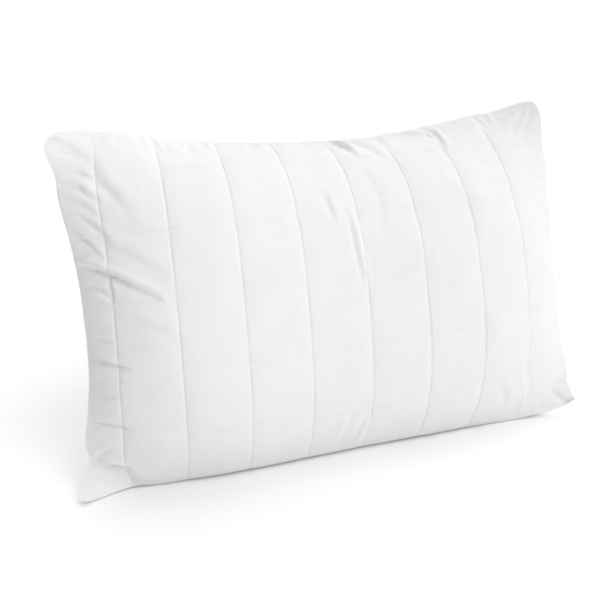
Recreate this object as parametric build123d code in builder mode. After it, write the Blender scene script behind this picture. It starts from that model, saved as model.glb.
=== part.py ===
from build123d import *
import math
import os

# Quilted bed pillow, cut 700 x 500 mm flat, standing on its long lower edge and leaning back a little.
# Millimetres. The front faces -Y, +X is to the right seen from the front, +Z is up and the pillow
# stands on z = 0. The origin is under the middle of the pillow.

# Cover, as cut flat between its seams
CUT_WIDTH = 700.0
CUT_HEIGHT = 500.0

# The faces are drawn through points this far apart along the cloth
CLOTH_STEP = 10.0

# Box quilting: evenly spaced thread rows, whole cloth steps apart and in from the seams
QUILT_PITCH = 80.0
COLUMNS = 8
ROWS = 6
LEFT_BAND = 50.0
TOP_BAND = 60.0

# Layers of one quilted panel, outside to inside
TICKING = 0.8
WADDING = 6.0
LINING = 0.6
PANEL = TICKING + WADDING + LINING

# Quilting thread on the cloth, and the seam thread that joins the two panels
THREAD_WIDTH = 0.9
THREAD_SUNK = 0.2
THREAD_PROUD = 0.3
THREAD_END = 2.0
SEAM_THREAD = 1.0
SEAM_THREAD_DEPTH = 3.8

# How full the pillow is: crown of each panel over the middle, its steepest angle at a seam, and how
# late the crown turns down towards the seams
FRONT_CROWN = 102.0
BACK_CROWN = 74.0
SEAM_ANGLE = math.radians(80.0)
LEFT_TURN = 3.0
RIGHT_TURN = 2.4
RISE_TURN = 2.0
RIGHT_FULLER = 0.043
LOWER_FULLER = 0.051

# How the seam line wanders out of one plane
SIDES_FORWARD = 52.0
ENDS_BACK = 17.0
SEAM_TWIST = 17.5
SEAM_SWAY = 24.0

# How the outline draws in, and how far the fill sags into the back of the foot
SIDE_TAPER = 0.121
END_TAPER = 0.048
TOP_SAG = 23.0
BOTTOM_SAG = 20.0
LEFT_DRAWN_IN = 8.0
HEEL_SAG = 26.0

# Stance
LEAN = math.radians(12.0)
FLOOR_DROP = 196.0
FOOT_SOFTNESS = 14.0
SHIFT_X = -0.5
SHIFT_Y = 17.06

# Inner layers stand this many of their own depths inside the outline
INSET_RATIO = 1.35

# Faces pass through every second point
SKIP = 2

STEPS_U = round(CUT_WIDTH / CLOTH_STEP)
STEPS_V = round(CUT_HEIGHT / CLOTH_STEP)


def fall(t, turn):
    """Share of the crown left at t, 0 at the middle and 1 at the seam."""
    def climb(start):
        width = (1 - start) / 24
        places = [start + (k + 0.5) * width for k in range(24)]
        return sum(math.sin(SEAM_ANGLE * place**turn) for place in places) * width

    return climb(abs(t)) / climb(0.0)


def along(heights, step):
    """Positions along a cloth line of even steps that climbs through these heights."""
    places = [0.0]
    for near, far in zip(heights, heights[1:]):
        places.append(places[-1] + math.sqrt(max(step**2 - (far - near) ** 2, (0.3 * step) ** 2)))
    middle = places[len(places) // 2]
    return [place - middle for place in places]


def settle(x, y, z, depth):
    """Lean the pillow back, stand it on the floor and flatten what would be under the floor."""
    back = y * math.cos(LEAN) + z * math.sin(LEAN)
    up = z * math.cos(LEAN) - y * math.sin(LEAN) + FLOOR_DROP
    above = up - depth
    if above < -FOOT_SOFTNESS:
        up = depth
    elif above < FOOT_SOFTNESS:
        up = depth + (above + FOOT_SOFTNESS) ** 2 / (4 * FOOT_SOFTNESS)
    return Vector(x + SHIFT_X, back + SHIFT_Y, up)


def matched(lines):
    """Stretch the front line and the back line so that both reach the same seams."""
    first = sum(line[0] for line in lines) / 2
    last = sum(line[-1] for line in lines) / 2
    return [[p * (first / line[0] if p < 0 else last / line[-1]) for p in line] for line in lines]


def panel_points(depth):
    """Points of the front and of the back face, rows from the bottom to the top, depth mm inside the cloth."""
    step_u = (CUT_WIDTH - 2 * INSET_RATIO * depth) / STEPS_U
    step_v = (CUT_HEIGHT - 2 * INSET_RATIO * depth) / STEPS_V
    us = [2 * i / STEPS_U - 1 for i in range(STEPS_U + 1)]
    vs = [2 * j / STEPS_V - 1 for j in range(STEPS_V + 1)]
    across = [(1 + RIGHT_FULLER * u) * fall(u, LEFT_TURN if u < 0 else RIGHT_TURN) for u in us]
    upward = [(1 - LOWER_FULLER * v) * fall(v, RISE_TURN) for v in vs]
    peaks = (FRONT_CROWN - depth, BACK_CROWN - depth)
    xs = [matched([along([peak * a * b for a in across], step_u) for peak in peaks]) for b in upward]
    zs = [matched([along([peak * a * b for b in upward], step_v) for peak in peaks]) for a in across]
    heels = (0.0, HEEL_SAG)
    faces = ([], [])
    for face, (rows, side) in enumerate(zip(faces, (-1, 1))):
        for j, v in enumerate(vs):
            row = []
            for i, u in enumerate(us):
                x = xs[j][face][i] * (1 - END_TAPER * abs(v) ** 3)
                x += LEFT_DRAWN_IN * (1 - v * v) * ((1 - u) / 2) ** 2
                z = zs[i][face][j] * (1 - SIDE_TAPER * abs(u) ** 3)
                z -= TOP_SAG * (1 - u * u) * ((1 + v) / 2) ** 2
                z -= BOTTOM_SAG * (1 - u * u) * ((1 - v) / 2) ** 2
                z -= heels[face] * across[i] * 3.8 * (1 - v * v) * ((1 - v) / 2) ** 4
                y = side * peaks[face] * across[i] * upward[j] - SIDES_FORWARD * u * u + ENDS_BACK * v * v
                y += SEAM_TWIST * u * v + SEAM_SWAY * u * (1 - u * u)
                row.append(settle(x, y, z, depth))
            rows.append(row)
    return faces


def smooth(row):
    """A curve through every second point of a row."""
    kept = row[::SKIP]
    return Edge.make_spline(kept, parameters=[i / (len(kept) - 1) for i in range(len(kept))])


def make_skin(rows):
    """One smooth face through rows of points."""
    return Shell.make_loft([Wire([smooth(row)]) for row in rows[::SKIP]]).faces()[0]


def make_body(fronts, backs):
    """Closed solid between two faces that share their outline."""
    sections = [Wire([smooth(front), smooth(back[::-1])]) for front, back in zip(fronts, backs)]
    return Solid(Shell(Shell.make_loft(sections[::SKIP]).faces()))


def borders(side, depth):
    """Bottom, right, top and left edge of a face."""
    rows, face = points[depth][side], skins[depth][side]
    corners = [rows[0][0], rows[0][-1], rows[-1][-1], rows[-1][0]]
    found = []
    for start, end in zip(corners, corners[1:] + corners[:1]):
        middle = (start + end) * 0.5
        found.append(min(face.edges(), key=lambda edge: (edge.position_at(0.5) - middle).length))
    return found


def close(faces):
    return Solid(Shell(faces))


def layer(side, outer, inner):
    """One cloth layer of a panel, closed round its rim."""
    walls = [Face.make_surface_from_curves(a, b) for a, b in zip(borders(side, outer), borders(side, inner))]
    return close([skins[outer][side], skins[inner][side]] + walls)


def bar(sections):
    """A thin bar through four-cornered sections."""
    edges = [Edge.make_spline([section[k] for section in sections]) for k in range(4)]
    walls = [Face.make_surface_from_curves(edges[k], edges[(k + 1) % 4]) for k in range(4)]
    for section in (sections[0], sections[-1]):
        near = Edge.make_line(section[0], section[1])
        far = Edge.make_line(section[3], section[2])
        walls.append(Face.make_surface_from_curves(near, far))
    return close(walls)


def off_floor(corner):
    """Thread under the foot is pressed flat against the floor."""
    return Vector(corner.X, corner.Y, max(corner.Z, 0.0))


def thread_row(line, aside, lean):
    """Quilting thread along a line of cloth points. aside is the next line, lean turns it face outwards."""
    spots = list(line)
    spots[0] = line[0] + (line[1] - line[0]).normalized() * THREAD_END
    spots[-1] = line[-1] + (line[-2] - line[-1]).normalized() * THREAD_END
    sections = []
    half = THREAD_WIDTH / 2
    for k, spot in enumerate(spots):
        forward = line[min(k + 1, len(line) - 1)] - line[max(k - 1, 0)]
        out = forward.cross(aside[k] - line[k]).normalized() * lean
        over = forward.cross(out).normalized()
        corners = [(-half, -THREAD_SUNK), (half, -THREAD_SUNK), (half, THREAD_PROUD), (-half, THREAD_PROUD)]
        sections.append([off_floor(spot + over * a + out * b) for a, b in corners])
    return bar(sections)


def seam_thread(line, aside):
    """Seam thread just inside the edge of the pillow. aside is the next line of cloth points."""
    spots = list(line)
    spots[0] = line[0] + (line[1] - line[0]).normalized() * THREAD_END
    spots[-1] = line[-1] + (line[-2] - line[-1]).normalized() * THREAD_END
    sections = []
    half = SEAM_THREAD / 2
    for k, spot in enumerate(spots):
        forward = (line[min(k + 1, len(line) - 1)] - line[max(k - 1, 0)]).normalized()
        over = forward.cross(aside[k] - line[k]).normalized()
        out = forward.cross(over)
        corners = [(-half, -half), (half, -half), (half, half), (-half, half)]
        sections.append([spot + over * a + out * b for a, b in corners])
    return bar(sections)


os.makedirs("parts", exist_ok=True)

FRONT, BACK = 0, 1
depths = [0.0, TICKING, TICKING + WADDING, PANEL]
points = {depth: panel_points(depth) for depth in depths + [SEAM_THREAD_DEPTH]}
skins = {depth: [make_skin(rows) for rows in points[depth]] for depth in depths}

with BuildPart() as front_ticking:
    add(layer(FRONT, 0.0, TICKING))
front_ticking.part.label = "front_ticking"
export_step(front_ticking.part, "parts/front_ticking.step")

with BuildPart() as back_ticking:
    add(layer(BACK, 0.0, TICKING))
back_ticking.part.label = "back_ticking"
export_step(back_ticking.part, "parts/back_ticking.step")

for side, name in ((FRONT, "front"), (BACK, "back")):
    with BuildPart() as wadding:
        add(layer(side, TICKING, TICKING + WADDING))
    wadding.part.label = f"{name}_wadding"
    export_step(wadding.part, f"parts/{name}_wadding.step")

    with BuildPart() as lining:
        add(layer(side, TICKING + WADDING, PANEL))
    lining.part.label = f"{name}_lining"
    export_step(lining.part, f"parts/{name}_lining.step")

with BuildPart() as fibre_fill:
    add(make_body(*points[PANEL]))
fibre_fill.part.label = "fibre_fill"
export_step(fibre_fill.part, "parts/fibre_fill.step")

# Seam threads, which lie in the wadding of both panels
rows = points[SEAM_THREAD_DEPTH][FRONT]
left = [row[0] for row in rows]
right = [row[-1] for row in rows]
inside_left = [row[2] for row in rows]
inside_right = [row[-3] for row in rows]
seams = (
    ("bottom", rows[0], rows[2]),
    ("right", right, inside_right),
    ("top", rows[-1], rows[-3]),
    ("left", left, inside_left),
)
for name, line, aside in seams:
    with BuildPart() as thread:
        add(seam_thread(line, aside))
    thread.part.label = f"{name}_seam_thread"
    export_step(thread.part, f"parts/{name}_seam_thread.step")

# Quilting thread up the pillow, in columns, and across it, in rows
for side, name, lean in ((FRONT, "front", 1), (BACK, "back", -1)):
    cloth = points[0.0][side]
    for column in range(COLUMNS):
        i = round((LEFT_BAND + column * QUILT_PITCH) / CLOTH_STEP)
        with BuildPart() as stitch:
            add(thread_row([row[i] for row in cloth], [row[i - 1] for row in cloth], lean))
        stitch.part.label = f"{name}_column_stitch_{column + 1}"
        export_step(stitch.part, f"parts/{name}_column_stitch_{column + 1}.step")
    for row in range(ROWS):
        j = STEPS_V - round((TOP_BAND + row * QUILT_PITCH) / CLOTH_STEP)
        with BuildPart() as stitch:
            add(thread_row(cloth[j], cloth[j + 1], lean))
        stitch.part.label = f"{name}_row_stitch_{row + 1}"
        export_step(stitch.part, f"parts/{name}_row_stitch_{row + 1}.step")
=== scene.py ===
import math

import bpy
import numpy as np
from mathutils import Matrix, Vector


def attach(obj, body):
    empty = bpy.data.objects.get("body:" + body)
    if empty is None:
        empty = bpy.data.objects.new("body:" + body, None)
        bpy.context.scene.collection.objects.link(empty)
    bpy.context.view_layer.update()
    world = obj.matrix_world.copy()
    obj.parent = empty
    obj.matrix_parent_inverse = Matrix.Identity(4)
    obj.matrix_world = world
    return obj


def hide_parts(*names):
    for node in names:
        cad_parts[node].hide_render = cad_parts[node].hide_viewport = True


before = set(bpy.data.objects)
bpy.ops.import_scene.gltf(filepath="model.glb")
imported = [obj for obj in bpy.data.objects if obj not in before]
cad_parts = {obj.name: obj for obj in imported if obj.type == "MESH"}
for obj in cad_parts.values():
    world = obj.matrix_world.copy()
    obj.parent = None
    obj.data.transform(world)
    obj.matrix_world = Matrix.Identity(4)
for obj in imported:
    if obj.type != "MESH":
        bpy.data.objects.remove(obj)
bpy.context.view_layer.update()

# ---------------------------------------------------------------- the cover, as cut (metres)
WIDTH, HEIGHT = 0.70, 0.50
PITCH = 0.08
LEFT_BAND, TOP_BAND = 0.05, 0.06
COLUMNS = [-WIDTH / 2 + LEFT_BAND + PITCH * k for k in range(8)]
ROWS = [HEIGHT / 2 - TOP_BAND - PITCH * k for k in range(6)]
STEP = 0.005
NU, NV = round(WIDTH / STEP), round(HEIGHT / STEP)

# how full the filled cover is, and where it is fuller
FRONT_CROWN, BACK_CROWN = 0.102, 0.074
SEAM_ANGLE = math.radians(80)
LEFT_TURN, RIGHT_TURN, RISE_TURN = 3.0, 2.4, 2.0
RIGHT_FULLER, LOWER_FULLER = 0.043, 0.051

# how the seam bends, tapers and sags
SIDES_FORWARD, ENDS_BACK = 0.052, 0.017
SEAM_TWIST, SEAM_SWAY = 0.0175, 0.024
SIDE_TAPER, END_TAPER = 0.121, 0.048
TOP_SAG, BOTTOM_SAG, HEEL_SAG = 0.023, 0.020, 0.026
LEFT_DRAWN_IN = 0.008

# how it leans and stands
LEAN = math.radians(12.0)
FLOOR_DROP = 0.196
FOOT_SOFTNESS = 0.014
SHIFT_X, SHIFT_Y = -0.0005, 0.01706


def fall(t, turn):
    """Share of the crown left at t, 0 at the middle and 1 at the seam."""
    t = np.abs(np.asarray(t, float))
    places = (np.arange(400) + 0.5) / 400
    slopes = np.sin(SEAM_ANGLE * places**turn)
    total = np.concatenate([[0], np.cumsum(slopes)]) / slopes.sum()
    return 1 - np.interp(t, np.arange(401) / 400, total)


def along(rise, step, axis):
    """Positions along cloth lines of even steps that climb through these heights."""
    climb = np.diff(rise, axis=axis)
    run = np.sqrt(np.maximum(step**2 - climb**2, (0.3 * step) ** 2))
    pad = [(1, 0) if k == axis else (0, 0) for k in range(2)]
    place = np.pad(np.cumsum(run, axis=axis), pad)
    return place - np.take(place, [place.shape[axis] // 2], axis=axis)


def settle(p):
    """Lean back, stand on the floor and flatten what would be under it."""
    y = p[..., 1] * math.cos(LEAN) + p[..., 2] * math.sin(LEAN)
    z = p[..., 2] * math.cos(LEAN) - p[..., 1] * math.sin(LEAN) + FLOOR_DROP
    soft = FOOT_SOFTNESS
    z = np.where(z < -soft, 0, np.where(z < soft, (z + soft) ** 2 / (4 * soft), z))
    return np.stack([p[..., 0] + SHIFT_X, y + SHIFT_Y, z], -1)


def resting_shape():
    """Front and back face of the filled pillow, [side, row, column, xyz], before the quilting."""
    us, vs = np.linspace(-1, 1, NU + 1), np.linspace(-1, 1, NV + 1)
    u, v = np.meshgrid(us, vs)
    across = (1 + RIGHT_FULLER * u) * np.where(u < 0, fall(u, LEFT_TURN), fall(u, RIGHT_TURN))
    upward = (1 - LOWER_FULLER * v) * fall(v, RISE_TURN)
    rise = [peak * across * upward for peak in (FRONT_CROWN, BACK_CROWN)]
    xs = [along(r, STEP, 1) for r in rise]
    zs = [along(r, STEP, 0) for r in rise]
    faces = []
    for side in (0, 1):
        x, z = xs[side], zs[side]
        mean = [(xs[0][:, k] + xs[1][:, k])[:, None] / 2 for k in (0, -1)]
        x = x * np.where(x < 0, mean[0] / x[:, :1], mean[1] / x[:, -1:])
        mean = [(zs[0][k] + zs[1][k])[None] / 2 for k in (0, -1)]
        z = z * np.where(z < 0, mean[0] / z[:1], mean[1] / z[-1:])
        x = x * (1 - END_TAPER * np.abs(v) ** 3) + LEFT_DRAWN_IN * (1 - v * v) * ((1 - u) / 2) ** 2
        z = z * (1 - SIDE_TAPER * np.abs(u) ** 3)
        z = z - TOP_SAG * (1 - u * u) * ((1 + v) / 2) ** 2 - BOTTOM_SAG * (1 - u * u) * ((1 - v) / 2) ** 2
        # only the back sags onto its heel
        z = z - HEEL_SAG * side * across * 3.8 * (1 - v * v) * ((1 - v) / 2) ** 4
        y = (2 * side - 1) * rise[side] - SIDES_FORWARD * u * u + ENDS_BACK * v * v
        y = y + SEAM_TWIST * u * v + SEAM_SWAY * u * (1 - u * u)
        faces.append(settle(np.stack([x, y, z], -1)))
    return np.array(faces)


# ---------------------------------------------------------------- mesh bookkeeping
cut_x, cut_z = np.meshgrid(
    np.linspace(-WIDTH / 2, WIDTH / 2, NU + 1), np.linspace(-HEIGHT / 2, HEIGHT / 2, NV + 1)
)
index = np.zeros((2, NV + 1, NU + 1), int)
index[0] = np.arange((NV + 1) * (NU + 1)).reshape(NV + 1, NU + 1)
inner = np.zeros((NV + 1, NU + 1), bool)
inner[1:-1, 1:-1] = True
index[1] = index[0]
index[1][inner] = (NV + 1) * (NU + 1) + np.arange(inner.sum())


def quads(grid, flip=False):
    q = np.stack([grid[:-1, :-1], grid[:-1, 1:], grid[1:, 1:], grid[1:, :-1]], -1).reshape(-1, 4)
    return q[:, ::-1] if flip else q


def gather(faces):
    """[side, row, column, xyz] to a vertex list in which both sides share the seam."""
    out = np.zeros((index.max() + 1, 3))
    out[index[1]] = faces[1]
    out[index[0]] = faces[0]
    return out


def new_object(name, verts, polys):
    mesh = bpy.data.meshes.new(name)
    mesh.from_pydata([tuple(p) for p in verts], [], [tuple(int(i) for i in q) for q in polys])
    mesh.update()
    mesh.polygons.foreach_set("use_smooth", [True] * len(mesh.polygons))
    ob = bpy.data.objects.new(name, mesh)
    bpy.context.scene.collection.objects.link(ob)
    return ob


def grid_normals(face, outward):
    du = np.gradient(face, axis=1)
    dv = np.gradient(face, axis=0)
    n = np.cross(du, dv)
    n /= np.maximum(np.linalg.norm(n, axis=-1, keepdims=True), 1e-12)
    return n * outward


def line_gap(values, lines):
    return np.min(np.abs(values[..., None] - np.array(lines)), -1)


def quilted(faces):
    """Sink the stitched lines and crown the cells between them."""
    out = faces.copy()
    gap_c, gap_r = line_gap(cut_x, COLUMNS), line_gap(cut_z, ROWS)
    fade = np.clip(np.linalg.norm(faces[1] - faces[0], axis=-1) / 0.03, 0, 1)
    dip = 0.0006 * np.exp(-gap_c / 0.012) + 0.0003 * np.exp(-gap_r / 0.010)
    for side, outward in ((0, 1), (1, -1)):
        n = grid_normals(faces[side], outward)
        out[side] -= n * (dip * fade)[..., None]
    out[..., 2] = np.maximum(out[..., 2], 0.0)
    out[1][~inner] = out[0][~inner]
    return out


def relaxed(faces, frames, pressure):
    """Let the cloth take up its cut lengths: it puffs between stitches and puckers where it is spare."""
    verts = gather(faces)
    flat = gather(np.stack([np.stack([cut_x, np.full_like(cut_x, y), cut_z], -1) for y in (0, 0)]))
    ob = new_object("cloth_work", verts, np.concatenate([quads(index[0]), quads(index[1], True)]))
    ob.shape_key_add(name="Basis")
    key = ob.shape_key_add(name="Cut")
    key.data.foreach_set("co", flat.ravel())
    key.value = 0
    hold = np.full((NV + 1, NU + 1), 0.04)
    gap_c, gap_r = line_gap(cut_x, COLUMNS), line_gap(cut_z, ROWS)
    hold = np.maximum(hold, 0.30 * (gap_r < STEP * 0.6))
    hold = np.maximum(hold, 0.45 * (gap_c < STEP * 0.6))
    hold[~inner] = 0.5
    weights = np.zeros(len(verts))
    weights[index[1]] = hold
    weights[index[0]] = hold
    weights = np.where(verts[:, 2] < 0.002, 0.95, weights)
    group = ob.vertex_groups.new(name="hold")
    for level in np.unique(weights.round(3)):
        group.add([int(i) for i in np.where(weights.round(3) == level)[0]], float(level), "REPLACE")
    cloth = ob.modifiers.new("Cloth", "CLOTH")
    s = cloth.settings
    s.rest_shape_key = key
    s.quality = 5
    s.mass = 0.3
    s.tension_stiffness = s.compression_stiffness = 20
    s.shear_stiffness = 6
    s.bending_stiffness = 0.3
    s.tension_damping = s.compression_damping = s.shear_damping = 5
    s.bending_damping = 0.5
    s.air_damping = 2
    s.vertex_group_mass = "hold"
    s.pin_stiffness = 1.0
    s.use_pressure = True
    s.uniform_pressure_force = pressure
    s.effector_weights.gravity = 0
    cloth.collision_settings.use_collision = False
    cloth.point_cache.frame_start, cloth.point_cache.frame_end = 1, frames
    for f in range(1, frames + 1):
        bpy.context.scene.frame_set(f)
    shown = ob.evaluated_get(bpy.context.evaluated_depsgraph_get())
    co = np.zeros(len(verts) * 3)
    shown.data.vertices.foreach_get("co", co)
    bpy.data.objects.remove(ob)
    bpy.context.scene.frame_set(1)
    return co.reshape(-1, 3)[index]


shape = quilted(resting_shape())
cloth = relaxed(shape, 24, 0.7)
cloth[..., 2] = np.maximum(cloth[..., 2], 0.0)


# ---------------------------------------------------------------- finer cloth
def finer(grid):
    """Twice as many rows and columns, on a smooth curve through the old points."""
    for axis in (0, 1):
        g = np.moveaxis(grid, axis, 0)
        before = np.concatenate([2 * g[:1] - g[1:2], g[:-2]])
        after = np.concatenate([g[2:], 2 * g[-1:] - g[-2:-1]])
        middle = (9 * (g[:-1] + g[1:]) - before - after) / 16
        out = np.empty((2 * len(g) - 1,) + g.shape[1:])
        out[::2], out[1::2] = g, middle
        grid = np.moveaxis(out, 0, axis)
    return grid


def with_lines(grid, axis, places, wanted):
    """The grid on new cut coordinates along one axis."""
    g = np.moveaxis(grid, axis, 0)
    low = np.clip(np.searchsorted(places, wanted) - 1, 0, len(places) - 2)
    share = (wanted - places[low]) / (places[low + 1] - places[low])
    share = share.reshape((-1,) + (1,) * (g.ndim - 1))
    return np.moveaxis(g[low] * (1 - share) + g[low + 1] * share, 0, axis)


def close_to(places, lines):
    """The places with extra ones just beside every quilting line, so that a crease there can be fine."""
    extra = [line + gap for line in lines for gap in (-0.0017, -0.0008, 0.0008, 0.0017)]
    return np.unique(np.concatenate([places, extra]).round(6))


cloth = np.array([finer(face) for face in cloth])
cut_x, cut_z = finer(cut_x), finer(cut_z)
across_places, up_places = cut_x[0], cut_z[:, 0]
across_wanted, up_wanted = close_to(across_places, COLUMNS), close_to(up_places, ROWS)
cloth = with_lines(cloth, 2, across_places, across_wanted)
cloth = with_lines(cloth, 1, up_places, up_wanted)
cut_x, cut_z = np.meshgrid(across_wanted, up_wanted)
NV, NU = cut_x.shape[0] - 1, cut_x.shape[1] - 1
seam_gap = np.minimum(WIDTH / 2 - np.abs(cut_x), HEIGHT / 2 - np.abs(cut_z))
thick = np.linalg.norm(cloth[1] - cloth[0], axis=-1)


def cell(column, row):
    """Cut coordinates of a place counted in quilting lines: column 1 and row 1 are the first lines."""
    return np.array([COLUMNS[0] + PITCH * (column - 1), ROWS[0] - PITCH * (row - 1)])


def crease(places, depth, width, ridge=0.5):
    """Height change of a fold along a path of (column, row) places: a valley with a soft ridge.

    ridge above 0 raises the side to the left of the path, below 0 the side to the right."""
    path = np.array([cell(*p) for p in places])
    legs = np.diff(path, axis=0)
    lengths = np.linalg.norm(legs, axis=1)
    starts = np.concatenate([[0], np.cumsum(lengths)[:-1]])
    best = np.full(cut_x.shape, 1e9)
    across = np.zeros(cut_x.shape)
    travel = np.zeros(cut_x.shape)
    for start, leg, length, first in zip(path[:-1], legs, lengths, starts):
        ax, az = cut_x - start[0], cut_z - start[1]
        t = np.clip((ax * leg[0] + az * leg[1]) / length**2, 0, 1)
        dx, dz = ax - t * leg[0], az - t * leg[1]
        far = np.hypot(dx, dz)
        near = far < best
        best = np.where(near, far, best)
        turn = np.sign(leg[0] * az - leg[1] * ax)
        across = np.where(near, far * turn, across)
        travel = np.where(near, (first + t * length) / lengths.sum(), travel)
    fade = np.sin(np.pi * np.clip(travel * 0.86 + 0.07, 0, 1)) ** 0.8
    valley = -depth * np.exp(-((across / width) ** 2))
    beside = across * (1 if ridge > 0 else -1) - 1.9 * width
    crest = abs(ridge) * depth * np.exp(-((beside / (1.5 * width)) ** 2))
    return (valley + crest) * fade * np.exp(-np.maximum(best - 4 * width, 0) / width)


def noise(seed, size, octaves=1):
    """Smooth noise over the cut cloth, about -1 to 1, with features about size metres across."""
    rng = np.random.default_rng(seed)
    total = np.zeros(cut_x.shape)
    for octave in range(octaves):
        scale = size / 2**octave
        nx, nz = int(WIDTH / scale) + 4, int(HEIGHT / scale) + 4
        table = rng.uniform(-1, 1, (nz, nx))
        gx, gz = (cut_x + WIDTH / 2) / scale + 1, (cut_z + HEIGHT / 2) / scale + 1
        ix, iz = gx.astype(int), gz.astype(int)
        fx, fz = gx - ix, gz - iz
        fx, fz = fx * fx * (3 - 2 * fx), fz * fz * (3 - 2 * fz)
        top = table[iz, ix] * (1 - fx) + table[iz, ix + 1] * fx
        low = table[iz + 1, ix] * (1 - fx) + table[iz + 1, ix + 1] * fx
        total += (top * (1 - fz) + low * fz) / 2**octave
    return total


def seam_puckers(seed, strength):
    """Short gathers that run in from every seam, uneven in place, length and depth."""
    rng = np.random.default_rng(seed)
    total = np.zeros(cut_x.shape)
    edges = ((cut_x, HEIGHT / 2 - cut_z, WIDTH), (cut_x, HEIGHT / 2 + cut_z, WIDTH),
             (cut_z, WIDTH / 2 + cut_x, HEIGHT), (cut_z, WIDTH / 2 - cut_x, HEIGHT))
    for along_edge, inward, length in edges:
        place = -length / 2 + rng.uniform(0.01, 0.03)
        while place < length / 2 - 0.01:
            reach = rng.uniform(0.012, 0.034)
            width = rng.uniform(0.003, 0.0055)
            depth = strength * rng.uniform(0.4, 1.0)
            slant = rng.uniform(-0.5, 0.5)
            off = along_edge - place - slant * inward
            shape_in = np.exp(-((inward / reach) ** 2)) * np.clip(inward / 0.003, 0, 1)
            valley = np.exp(-((off / width) ** 2))
            crests = 0.45 * np.exp(-(((np.abs(off) - 2 * width) / width) ** 2))
            total -= depth * (valley - crests) * shape_in
            place += rng.uniform(0.014, 0.040)
    return total


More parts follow.
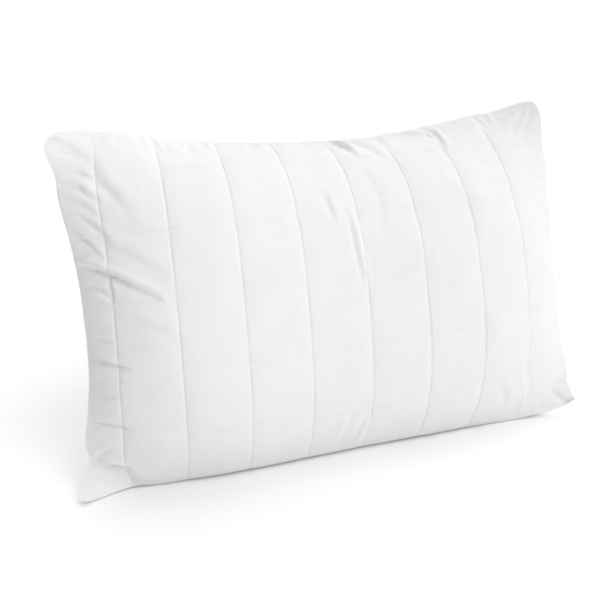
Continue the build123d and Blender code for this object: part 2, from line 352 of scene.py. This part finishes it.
FRONT_FOLDS = [
    # the big fold from the left seam, the ridge over it and its echoes
    ([(0.38, 2.40), (0.75, 2.48), (1.10, 2.62), (1.72, 2.97)], 0.0050, 0.0050, 0.9),
    ([(0.95, 2.62), (1.02, 2.80), (1.00, 2.98)], 0.0022, 0.0035, 0.6),
    ([(0.80, 2.05), (1.30, 2.28), (1.85, 2.66)], 0.0016, 0.0080, 0.8),
    ([(0.45, 2.75), (0.80, 2.80), (1.00, 2.95)], 0.0028, 0.0040, -0.7),
    ([(1.15, 3.30), (1.50, 3.38), (1.90, 3.55)], 0.0014, 0.0070, 0.7),
    ([(0.50, 3.55), (0.95, 3.62)], 0.0020, 0.0040, 0.6),
    ([(0.42, 3.92), (0.80, 3.96), (1.20, 4.03)], 0.0024, 0.0032, 0.6),
    ([(0.60, 4.25), (1.15, 4.22)], 0.0014, 0.0035, -0.6),
    ([(0.42, 5.00), (0.80, 4.98), (1.15, 5.02)], 0.0020, 0.0032, 0.5),
    ([(0.40, 5.90), (0.72, 5.76), (1.05, 5.74)], 0.0042, 0.0050, 0.7),
    ([(0.40, 5.96), (0.75, 6.10), (1.10, 6.14), (1.50, 6.16)], 0.0046, 0.0046, -0.6),
    ([(0.42, 6.02), (0.60, 6.24), (0.86, 6.38)], 0.0036, 0.0040, 0.5),
    ([(0.40, 5.82), (0.62, 5.52), (0.80, 5.40)], 0.0026, 0.0045, 0.6),
    # upper left
    ([(0.95, 0.80), (1.10, 1.20), (1.42, 1.66)], 0.0020, 0.0080, 0.8),
    ([(0.45, 0.85), (0.75, 0.95), (1.02, 1.12)], 0.0022, 0.0040, 0.6),
    ([(0.45, 1.35), (0.75, 1.48), (0.98, 1.72)], 0.0022, 0.0060, 0.7),
    ([(0.42, 0.35), (0.58, 0.42), (0.76, 0.58)], 0.0034, 0.0040, 0.7),
    ([(0.42, 0.62), (0.62, 0.60), (0.86, 0.72)], 0.0030, 0.0040, -0.6),
    ([(0.44, 1.10), (0.72, 1.20), (0.96, 1.42)], 0.0030, 0.0048, 0.7),
    ([(0.62, 1.62), (0.86, 1.80), (1.06, 2.04)], 0.0028, 0.0050, 0.7),
    ([(0.44, 1.90), (0.66, 2.02), (0.90, 2.28)], 0.0026, 0.0045, 0.6),
    ([(0.42, 4.45), (0.70, 4.52), (0.98, 4.48)], 0.0022, 0.0042, 0.6),
    ([(0.62, 0.28), (0.66, 0.40), (0.74, 0.52)], 0.0022, 0.0032, -0.7),
    # gathers below the top seam
    ([(2.38, 0.26), (2.46, 0.50)], 0.0022, 0.0045, 0.6),
    ([(2.96, 0.26), (3.06, 0.52)], 0.0024, 0.0045, -0.6),
    ([(3.62, 0.26), (3.74, 0.50)], 0.0024, 0.0045, 0.6),
    ([(4.10, 0.26), (4.24, 0.46)], 0.0024, 0.0045, 0.6),
    ([(5.10, 0.27), (5.22, 0.55), (5.34, 0.86)], 0.0052, 0.0055, 0.8),
    ([(4.96, 0.26), (5.02, 0.52)], 0.0022, 0.0040, -0.6),
    ([(5.45, 0.45), (5.62, 0.75), (5.84, 1.10)], 0.0018, 0.0075, 0.6),
    ([(6.25, 0.30), (6.60, 0.36), (6.98, 0.52)], 0.0050, 0.0060, 0.8),
    ([(7.02, 0.26), (7.10, 0.50), (7.06, 0.90)], 0.0030, 0.0045, 0.6),
    ([(7.55, 0.26), (7.62, 0.46)], 0.0022, 0.0045, 0.6),
    ([(8.00, 0.26), (8.08, 0.60)], 0.0022, 0.0050, -0.6),
    ([(8.40, 0.32), (8.78, 0.37), (9.06, 0.30)], 0.0042, 0.0050, -0.7),
    ([(8.62, 0.50), (8.88, 0.46), (9.08, 0.36)], 0.0030, 0.0040, 0.6),
    ([(8.72, 0.26), (8.62, 0.48)], 0.0022, 0.0035, 0.6),
    ([(8.92, 0.27), (8.80, 0.50)], 0.0022, 0.0035, 0.6),
    # slack beside the fifth column, high and low
    ([(4.50, 1.66), (4.58, 2.12)], 0.0018, 0.0050, 0.6),
    ([(4.83, 2.02), (4.86, 2.55), (4.92, 3.08)], 0.0024, 0.0042, 0.6),
    ([(5.30, 1.20), (5.42, 1.75), (5.40, 2.20)], 0.0010, 0.0090, 0.6),
    ([(4.52, 5.60), (4.58, 5.30), (4.66, 4.98)], 0.0020, 0.0050, 0.6),
    ([(4.74, 5.62), (4.80, 5.35), (4.92, 5.05)], 0.0016, 0.0045, -0.6),
    # lower right
    ([(7.35, 5.10), (7.55, 5.35), (7.62, 5.62)], 0.0014, 0.0065, 0.6),
    ([(7.95, 5.00), (8.10, 5.30), (8.12, 5.62)], 0.0014, 0.0065, -0.6),
    ([(8.70, 5.70), (8.90, 6.02), (9.05, 6.30)], 0.0026, 0.0055, 0.7),
    ([(8.35, 6.05), (8.70, 6.12), (9.05, 6.38)], 0.0022, 0.0050, -0.6),
]

BACK_FOLDS = [
    ([(0.42, 3.00), (0.90, 3.10), (1.60, 2.80)], 0.0030, 0.0055, 0.8),
    ([(0.42, 4.20), (1.00, 4.10), (1.50, 4.30)], 0.0022, 0.0060, 0.6),
    ([(9.08, 2.60), (8.50, 2.75), (7.90, 3.10)], 0.0030, 0.0060, 0.8),
    ([(9.08, 4.00), (8.60, 3.95), (8.10, 4.20)], 0.0020, 0.0060, -0.6),
    ([(3.40, 0.26), (3.50, 0.70)], 0.0026, 0.0050, 0.6),
    ([(5.60, 0.26), (5.50, 0.80)], 0.0030, 0.0055, -0.6),
    ([(7.30, 0.26), (7.20, 0.62)], 0.0024, 0.0050, 0.6),
    ([(1.80, 0.26), (1.95, 0.66)], 0.0024, 0.0050, 0.6),
    ([(8.50, 0.40), (8.20, 1.00), (8.05, 1.60)], 0.0020, 0.0075, 0.7),
    ([(0.70, 0.55), (1.05, 1.10), (1.15, 1.70)], 0.0020, 0.0075, -0.7),
    ([(2.55, 4.80), (3.30, 5.30), (4.20, 5.60)], 0.0018, 0.0090, 0.6),
]


COLUMN_BITE, COLUMN_DIP = 0.0011, 0.0006
ROW_BITE, ROW_DIP = 0.0008, 0.0003
CROSSING_DIP = 0.0005
FOLD_DEPTH, FOLD_WIDTH = 1.1, 0.78
SEAM_PUCKER, CORNER_PUCKER = 0.0019, 0.0052
DEEPEST_CREASE = 0.35


def stitched(side):
    """Sink the thread rows into fine creases that gather a little from stitch to stitch."""
    gap_c, gap_r = line_gap(cut_x, COLUMNS), line_gap(cut_z, ROWS)
    wave = 0.75 + 0.35 * noise(11 + side, 0.02)
    taut = 1 - 0.55 / (1 + np.exp(-(cut_x - 0.225) / 0.01)) / (1 + np.exp((cut_z + 0.02) / 0.02))
    bite, dip = COLUMN_BITE * np.exp(-((gap_c / 0.0012) ** 2)), COLUMN_DIP * np.exp(-gap_c / 0.0045)
    drop = (-bite * wave - dip) * taut
    # the rows bite where the cloth is slack: near the left seam, and along the fourth row
    slack = 0.24 + 0.76 / (1 + np.exp((cut_x + 0.235) / 0.02))
    slack += 0.5 * np.exp(-(((cut_z + 0.05) / 0.02) ** 2)) / (1 + np.exp(-(cut_x + 0.05) / 0.03))
    wave = 0.7 + 0.4 * noise(13 + side, 0.02)
    bite, dip = ROW_BITE * np.exp(-((gap_r / 0.0011) ** 2)), ROW_DIP * np.exp(-gap_r / 0.0045)
    drop -= (bite * wave + dip) * slack
    # small gathers where two rows cross
    cross = np.exp(-((np.hypot(gap_c, gap_r) / 0.010) ** 2))
    drop -= CROSSING_DIP * cross
    near = np.exp(-gap_c / 0.008) + 0.5 * np.exp(-gap_r / 0.008)
    drop += 0.00022 * noise(17 + side, 0.009, 2) * near
    return drop


def corner_puckers(seed, strength):
    """Creases that run in from the tip of every corner."""
    rng = np.random.default_rng(seed)
    total = np.zeros(cut_x.shape)
    for right in (-1, 1):
        for top in (-1, 1):
            dx, dz = WIDTH / 2 - right * cut_x, HEIGHT / 2 - top * cut_z
            for angle in (0.35, 0.75, 1.15):
                turned = angle + rng.uniform(-0.12, 0.12)
                out = dx * math.cos(turned) + dz * math.sin(turned)
                off = dz * math.cos(turned) - dx * math.sin(turned) + 0.15 * out * np.sin(out / 0.02)
                reach = rng.uniform(0.030, 0.055)
                width = 0.0022 + 0.06 * np.maximum(out, 0)
                envelope = np.clip((out - 0.005) / 0.012, 0, 1) * np.exp(-((out / reach) ** 2))
                total -= strength * rng.uniform(0.6, 1.0) * np.exp(-((off / width) ** 2)) * envelope
    return total


def worked(side, folds):
    face = cloth[side].copy()
    n = grid_normals(face, 1 if side == 0 else -1)
    rise = stitched(side)
    for places, depth, width, ridge in folds:
        rise += crease(places, FOLD_DEPTH * depth, FOLD_WIDTH * width, ridge)
    rise += seam_puckers(23 + side, SEAM_PUCKER)
    rise += corner_puckers(29 + side, CORNER_PUCKER)
    rise += 0.0008 * noise(31 + side, 0.05, 2) + 0.0003 * noise(37 + side, 0.016, 2)
    off_seam = np.clip(seam_gap / 0.006, 0, 1)
    off_floor = np.clip((cloth[side][..., 2] - 0.001) / 0.012, 0, 1)
    room = np.clip(thick / 0.030, 0.45, 1)
    # a crease never sinks so far that the two faces cross
    move = np.maximum(rise * off_seam * off_floor * room, -DEEPEST_CREASE * thick)
    return face + n * move[..., None]


cloth = np.array([worked(0, FRONT_FOLDS), worked(1, BACK_FOLDS)])
# the seam itself wanders a little
wander = 0.0012 * noise(41, 0.03, 2) * (seam_gap < 1e-6)
for side in (0, 1):
    lift = np.clip(cloth[side][..., 2] / 0.03, 0, 1)
    cloth[side][..., 1] += wander * lift
    cloth[side][..., 2] += 0.6 * wander * lift
cloth[..., 2] = np.maximum(cloth[..., 2], 0.0)


# ---------------------------------------------------------------- corner ears
EARS = [
    # right or left, top or bottom, how far the tip is pulled, how far the neck moves, how blunt the tip is
    (1, 1, (0.002, 0.0, 0.0115), (-0.002, 0.0, -0.002), 0.003),
    (1, -1, (0.014, 0.0, 0.016), (-0.002, 0.0, 0.003), 0.007),
    (-1, 1, (-0.007, 0.0, -0.001), (0.004, 0.0, -0.001), 0.006),
    (-1, -1, (-0.012, -0.030, 0.002), (0.010, 0.0, 0.002), 0.006),
]
for right, top, pull, neck, rounding in EARS:
    away = np.hypot(cut_x - right * WIDTH / 2, cut_z - top * HEIGHT / 2)
    cloth += (np.exp(-((away / 0.036) ** 2))[..., None] * np.array(pull))[None]
    cloth += (np.exp(-(((away - 0.055) / 0.022) ** 2))[..., None] * np.array(neck))[None]
    # a turned corner is never sharp
    blunt = rounding * np.clip(1 - away / 0.020, 0, 1) ** 1.5
    cloth[..., 0] -= right * blunt
    cloth[..., 2] -= top * blunt
# the weight of the filling pushes the lower seam out in front of the foot
kick = 0.011 * np.exp(-(((cut_z + HEIGHT / 2) / 0.032) ** 2)) * (1 - (cut_x / (WIDTH / 2)) ** 4)
cloth[..., 1] -= kick
cloth[..., 2] = np.maximum(cloth[..., 2], 0.0)


# ---------------------------------------------------------------- materials
def material(name, base, rough, sheen=0.0):
    mat = bpy.data.materials.new(name)
    mat.use_nodes = True
    shader = mat.node_tree.nodes["Principled BSDF"]
    shader.inputs["Base Color"].default_value = (*base, 1)
    shader.inputs["Roughness"].default_value = rough
    shader.inputs["Sheen Weight"].default_value = sheen
    shader.inputs["Sheen Roughness"].default_value = 0.6
    shader.inputs["Specular IOR Level"].default_value = 0.25
    return mat, mat.node_tree, shader


def node(tree, kind, **values):
    made = tree.nodes.new(kind)
    for key, value in values.items():
        if key in made.inputs:
            made.inputs[key].default_value = value
        else:
            setattr(made, key, value)
    return made


def tinted(tree, shader, vector, base, spread, scale):
    """Let the colour vary a little from place to place."""
    cloud = node(tree, "ShaderNodeTexNoise", Scale=scale, Detail=4.0, Roughness=0.55)
    tree.links.new(vector, cloud.inputs["Vector"])
    ramp = node(tree, "ShaderNodeValToRGB")
    ramp.color_ramp.elements[0].position, ramp.color_ramp.elements[1].position = 0.3, 0.7
    ramp.color_ramp.elements[0].color = tuple(c * (1 - spread) for c in base) + (1,)
    ramp.color_ramp.elements[1].color = tuple(min(c * (1 + spread), 1) for c in base) + (1,)
    tree.links.new(cloud.outputs["Fac"], ramp.inputs["Fac"])
    tree.links.new(ramp.outputs["Color"], shader.inputs["Base Color"])
    return cloud


def woven(name, base, threads, height, slub):
    """Plain-weave cloth: warp and weft threads that pass over and under, with slubs."""
    mat, tree, shader = material(name, base, 0.88, 0.12)
    uv = node(tree, "ShaderNodeUVMap", uv_map="cut")
    tinted(tree, shader, uv.outputs["UV"], base, 0.012, 22.0)
    heights = []
    for direction in ("X", "Y"):
        wave = node(tree, "ShaderNodeTexWave", Scale=threads / 2, Distortion=0.6, Detail=1.0)
        wave.wave_type, wave.bands_direction, wave.wave_profile = "BANDS", direction, "SIN"
        wave.inputs["Detail Scale"].default_value = 2.0
        tree.links.new(uv.outputs["UV"], wave.inputs["Vector"])
        heights.append(wave.outputs["Fac"])
    weave = node(tree, "ShaderNodeMath", operation="MULTIPLY")
    tree.links.new(heights[0], weave.inputs[0])
    tree.links.new(heights[1], weave.inputs[1])
    slubs = node(tree, "ShaderNodeTexNoise", Scale=260.0, Detail=5.0, Roughness=0.65)
    tree.links.new(uv.outputs["UV"], slubs.inputs["Vector"])
    both = node(tree, "ShaderNodeMath", operation="MULTIPLY_ADD")
    tree.links.new(slubs.outputs["Fac"], both.inputs[0])
    both.inputs[1].default_value = slub
    tree.links.new(weave.outputs["Value"], both.inputs[2])
    bump = node(tree, "ShaderNodeBump", Strength=0.55, Distance=height)
    tree.links.new(both.outputs["Value"], bump.inputs["Height"])
    tree.links.new(bump.outputs["Normal"], shader.inputs["Normal"])
    return mat


def fibrous(name, base, scale, height):
    """Matted fibres: batting and loose filling."""
    mat, tree, shader = material(name, base, 0.95, 0.3)
    place = node(tree, "ShaderNodeTexCoord")
    cloud = tinted(tree, shader, place.outputs["Object"], base, 0.03, scale)
    bump = node(tree, "ShaderNodeBump", Strength=0.8, Distance=height)
    tree.links.new(cloud.outputs["Fac"], bump.inputs["Height"])
    tree.links.new(bump.outputs["Normal"], shader.inputs["Normal"])
    return mat


def spun(name, base):
    """Twisted thread: fine slanting plies along each stitch."""
    mat, tree, shader = material(name, base, 0.7, 0.15)
    place = node(tree, "ShaderNodeTexCoord")
    tinted(tree, shader, place.outputs["Object"], base, 0.02, 60.0)
    plies = node(tree, "ShaderNodeTexWave", Scale=900.0, Distortion=1.5, Detail=1.0)
    plies.bands_direction = "DIAGONAL"
    tree.links.new(place.outputs["Object"], plies.inputs["Vector"])
    bump = node(tree, "ShaderNodeBump", Strength=0.5, Distance=0.00012)
    tree.links.new(plies.outputs["Fac"], bump.inputs["Height"])
    tree.links.new(bump.outputs["Normal"], shader.inputs["Normal"])
    return mat


COTTON = woven("percale_ticking", (0.79, 0.795, 0.79), 1600.0, 0.00016, 0.9)
LINEN = woven("lining_cloth", (0.76, 0.76, 0.75), 1200.0, 0.00014, 0.7)
BATTING = fibrous("wadding_batting", (0.84, 0.84, 0.83), 180.0, 0.0012)
FIBRE = fibrous("fibre_filling", (0.86, 0.86, 0.85), 120.0, 0.0030)
QUILT_THREAD = spun("quilting_thread", (0.80, 0.80, 0.79))
SEAM_THREAD = spun("seam_thread", (0.78, 0.78, 0.77))


# ---------------------------------------------------------------- cloth pieces
def with_cut_map(ob, grid_x, grid_z, grid):
    """Cut coordinates as the texture map, so that the weave runs with the cloth."""
    flat = np.zeros((grid.max() + 1, 2))
    flat[grid.ravel()] = np.stack([grid_x.ravel(), grid_z.ravel()], -1)
    corner = np.zeros(len(ob.data.loops), int)
    ob.data.loops.foreach_get("vertex_index", corner)
    layer = ob.data.uv_layers.new(name="cut")
    layer.data.foreach_set("uv", flat[corner % len(flat)].ravel())


def finish_piece(ob, mat, slot_name, *nodes):
    ob.data.materials.append(mat)
    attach(ob, "root")
    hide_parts(*nodes)


chord = cloth[1] - cloth[0]
length = np.maximum(np.linalg.norm(chord, axis=-1, keepdims=True), 1e-6)


INSET, FILL_INSET = 2, 4
WADDING_TOP, WADDING_FOOT, LINING_DEPTH, FILL_DEPTH = 0.0014, 0.0068, 0.0074, 0.0085
DEEPEST_SHARE = 0.44


def thinned(grid, inset):
    """Every second line of a grid, without the outermost ones."""
    return grid[inset:-inset:2, inset:-inset:2]


def sunk(side, depth, inset):
    """The cloth grid moved into the pillow along the line to the other face."""
    share = np.minimum(depth / length, DEEPEST_SHARE)
    return thinned(cloth[side] + (chord if side == 0 else -chord) * share, inset)


def closed_form(name, outer, under, flip):
    """A closed piece between two grids of points of the same size."""
    rows, cols = outer.shape[:2]
    grid = np.arange(rows * cols).reshape(rows, cols)
    below = rows * cols
    rim = np.concatenate([grid[0], grid[1:, -1], grid[-1, -2::-1], grid[-2:0:-1, 0]])
    ahead = np.roll(rim, -1)
    walls = np.stack([rim, ahead, ahead + below, rim + below], -1)
    faces = [quads(grid, flip), quads(grid + below, not flip), walls if flip else walls[:, ::-1]]
    verts = np.concatenate([outer.reshape(-1, 3), under.reshape(-1, 3)])
    return new_object(name, verts, np.concatenate(faces))


for side, name in ((0, "front"), (1, "back")):
    grid = np.arange((NV + 1) * (NU + 1)).reshape(NV + 1, NU + 1)
    ob = new_object(f"{name}_ticking_cloth", cloth[side].reshape(-1, 3), quads(grid, side == 1))
    with_cut_map(ob, cut_x, cut_z, grid)
    finish_piece(ob, COTTON, "ticking", f"{name}_ticking")

    outer, under = sunk(side, WADDING_TOP, INSET), sunk(side, WADDING_FOOT, INSET)
    ob = closed_form(f"{name}_wadding_batt", outer, under, side == 1)
    finish_piece(ob, BATTING, "wadding", f"{name}_wadding")

    face = sunk(side, LINING_DEPTH, INSET)
    grid = np.arange(face.shape[0] * face.shape[1]).reshape(face.shape[:2])
    ob = new_object(f"{name}_lining_cloth", face.reshape(-1, 3), quads(grid, side == 1))
    with_cut_map(ob, thinned(cut_x, INSET), thinned(cut_z, INSET), grid)
    finish_piece(ob, LINEN, "lining", f"{name}_lining")

fronts, backs = sunk(0, FILL_DEPTH, FILL_INSET), sunk(1, FILL_DEPTH, FILL_INSET)
ob = closed_form("fibre_filling", fronts, backs, False)
finish_piece(ob, FIBRE, "fibre", "fibre_fill")


# ---------------------------------------------------------------- stitches
ROW_START = 0.004
# pitch, length and radius of a stitch
COLUMN_STITCH = (0.0029, 0.0023, 0.00032)
ROW_STITCH = (0.0029, 0.0023, 0.00028)
SEAM_STITCH = (0.0025, 0.0024, 0.0004)
SIDES = 6
# along the stitch in lengths, then thickness and height in radii
RINGS = [(-0.5, 0.35, -1.6), (-0.36, 0.9, -0.1), (0.0, 1.0, 0.35), (0.36, 0.9, -0.1), (0.5, 0.35, -1.6)]
SEAM_DEPTH = 2


def walk(points, values, pitch):
    """Values at even places along a line of points, from just inside its first point."""
    legs = np.linalg.norm(np.diff(points, axis=0), axis=1)
    place = np.concatenate([[0], np.cumsum(legs)])
    at = np.arange(ROW_START, place[-1] - ROW_START, pitch)
    return np.stack([np.interp(at, place, values[:, k]) for k in range(3)], -1)


def stitch_row(name, points, normals, pitch, long, radius, seed):
    """A row of lockstitches: short rounded threads that go down into the cloth at both ends."""
    centres = walk(points, points, pitch)
    ups = walk(points, normals, pitch)
    rng = np.random.default_rng(seed)
    ahead = np.gradient(centres, axis=0)
    ahead /= np.maximum(np.linalg.norm(ahead, axis=1, keepdims=True), 1e-9)
    over = np.cross(ups, ahead)
    over /= np.maximum(np.linalg.norm(over, axis=1, keepdims=True), 1e-9)
    ups = np.cross(ahead, over)
    spin = rng.uniform(-0.05, 0.05, len(centres))
    ahead = ahead + over * spin[:, None]
    corner = np.arange(SIDES) * math.tau / SIDES
    verts, polys, first = [], [], 0
    for c, a, o, u in zip(centres, ahead, over, ups):
        size = long * rng.uniform(0.94, 1.04)
        for place, fat, rise in RINGS:
            middle = c + a * (size * place) + u * (radius * rise)
            for t in corner:
                verts.append(middle + (o * math.cos(t) + u * math.sin(t)) * radius * fat)
        last = first + SIDES * (len(RINGS) - 1)
        for base in range(first, last, SIDES):
            for k in range(SIDES):
                j = (k + 1) % SIDES
                polys.append((base + k, base + j, base + SIDES + j, base + SIDES + k))
        polys.append(tuple(first + k for k in reversed(range(SIDES))))
        polys.append(tuple(last + k for k in range(SIDES)))
        first = last + SIDES
    return new_object(name, verts, polys)


for side, name in ((0, "front"), (1, "back")):
    normals = grid_normals(cloth[side], 1 if side == 0 else -1)
    for k, x in enumerate(COLUMNS):
        i = int(np.argmin(np.abs(cut_x[0] - x)))
        line, ups = cloth[side][:, i], normals[:, i]
        ob = stitch_row(f"{name}_column_stitches_{k + 1}", line, ups, *COLUMN_STITCH, 100 * side + k)
        finish_piece(ob, QUILT_THREAD, "quilting_thread", f"{name}_column_stitch_{k + 1}")
    for k, z in enumerate(ROWS):
        j = int(np.argmin(np.abs(cut_z[:, 0] - z)))
        line, ups = cloth[side][j], normals[j]
        ob = stitch_row(f"{name}_row_stitches_{k + 1}", line, ups, *ROW_STITCH, 100 * side + 50 + k)
        finish_piece(ob, QUILT_THREAD, "quilting_thread", f"{name}_row_stitch_{k + 1}")

# the seam thread runs between the two panels, just inside the edge
between = (cloth[0] + cloth[1]) / 2
seam_lines = {
    "bottom": (between[SEAM_DEPTH, SEAM_DEPTH:-SEAM_DEPTH], between[0, SEAM_DEPTH:-SEAM_DEPTH]),
    "top": (between[-1 - SEAM_DEPTH, SEAM_DEPTH:-SEAM_DEPTH], between[-1, SEAM_DEPTH:-SEAM_DEPTH]),
    "left": (between[SEAM_DEPTH:-SEAM_DEPTH, SEAM_DEPTH], between[SEAM_DEPTH:-SEAM_DEPTH, 0]),
    "right": (between[SEAM_DEPTH:-SEAM_DEPTH, -1 - SEAM_DEPTH], between[SEAM_DEPTH:-SEAM_DEPTH, -1]),
}
for k, (name, (line, rim)) in enumerate(seam_lines.items()):
    ups = rim - line
    ups /= np.linalg.norm(ups, axis=1, keepdims=True)
    ob = stitch_row(f"{name}_seam_stitches", line, ups, *SEAM_STITCH, 300 + k)
    finish_piece(ob, SEAM_THREAD, "seam_thread", f"{name}_seam_thread")


# ---------------------------------------------------------------- floor, light and camera
mesh = bpy.data.meshes.new("studio_floor")
mesh.from_pydata([(-30, -30, 0), (30, -30, 0), (30, 30, 0), (-30, 30, 0)], [], [(0, 1, 2, 3)])
floor = bpy.data.objects.new("studio_floor", mesh)
bpy.context.scene.collection.objects.link(floor)
floor_paint, _, shader = material("studio_paper", (0.95, 0.95, 0.95), 0.95)
shader.inputs["Specular IOR Level"].default_value = 0.0
mesh.materials.append(floor_paint)

PAPER_SEEN = 1.02
AIR_LEVEL, AIR_SLOPE = 0.74, (0.60, -0.12, -0.20)
world = bpy.data.worlds.new("studio")
world.use_nodes = True
tree = world.node_tree
tree.nodes.clear()
seen = node(tree, "ShaderNodeBackground", Color=(1.0, 1.0, 1.0, 1), Strength=PAPER_SEEN)
lit = node(tree, "ShaderNodeBackground", Color=(0.985, 1.0, 1.0, 1))
place = node(tree, "ShaderNodeTexCoord")
slope = node(tree, "ShaderNodeVectorMath", operation="DOT_PRODUCT")
slope.inputs[1].default_value = AIR_SLOPE
level = node(tree, "ShaderNodeMath", operation="ADD")
level.inputs[1].default_value = AIR_LEVEL
tree.links.new(place.outputs["Generated"], slope.inputs[0])
tree.links.new(slope.outputs["Value"], level.inputs[0])
tree.links.new(level.outputs["Value"], lit.inputs["Strength"])
ray = node(tree, "ShaderNodeLightPath")
mix = node(tree, "ShaderNodeMixShader")
out = node(tree, "ShaderNodeOutputWorld")
tree.links.new(ray.outputs["Is Camera Ray"], mix.inputs[0])
tree.links.new(lit.outputs[0], mix.inputs[1])
tree.links.new(seen.outputs[0], mix.inputs[2])
tree.links.new(mix.outputs[0], out.inputs["Surface"])
bpy.context.scene.world = world


def sun(name, towards, strength, spread, colour):
    """A broad even light that shines from the given direction."""
    data = bpy.data.lights.new(name, "SUN")
    data.energy, data.angle, data.color = strength, math.radians(spread), colour
    ob = bpy.data.objects.new(name, data)
    ob.rotation_euler = Vector(towards).to_track_quat("Z", "Y").to_euler()
    bpy.context.scene.collection.objects.link(ob)


sun("key_softbox", (0.34, -0.86, 0.95), 1.05, 44, (1.0, 1.0, 0.99))
sun("top_softbox", (0.0, 0.48, 1.0), 1.15, 60, (0.99, 1.0, 1.0))

scene = bpy.context.scene
scene.view_settings.view_transform = "Standard"
scene.view_settings.look = "None"
scene.view_settings.exposure = 0
scene.view_settings.gamma = 1

AIM, DISTANCE = Vector((-0.033, 0.0168, 0.192)), 1.199
turn, tilt, roll = math.radians(-20.6), math.radians(17.2), math.radians(-0.75)
back_way = Vector((math.sin(turn) * math.cos(tilt), -math.cos(turn) * math.cos(tilt), math.sin(tilt)))
right_way = Vector((math.cos(turn), math.sin(turn), 0))
up_way = back_way.cross(right_way)
right_rolled = right_way * math.cos(roll) + up_way * math.sin(roll)
up_rolled = up_way * math.cos(roll) - right_way * math.sin(roll)
lens = bpy.data.cameras.new("photo_camera")
camera = bpy.data.objects.new("photo_camera", lens)
scene.collection.objects.link(camera)
turned = camera.matrix_world.to_3x3()
for k in range(3):
    turned[k] = (right_rolled[k], up_rolled[k], back_way[k])
camera.matrix_world = turned.to_4x4()
camera.location = AIM + back_way * DISTANCE
lens.sensor_width = 36
lens.lens = 55.0
lens.shift_x, lens.shift_y = 0.00116667, -0.00566667
lens.dof.use_dof = False
scene.camera = camera

bpy.context.view_layer.update()
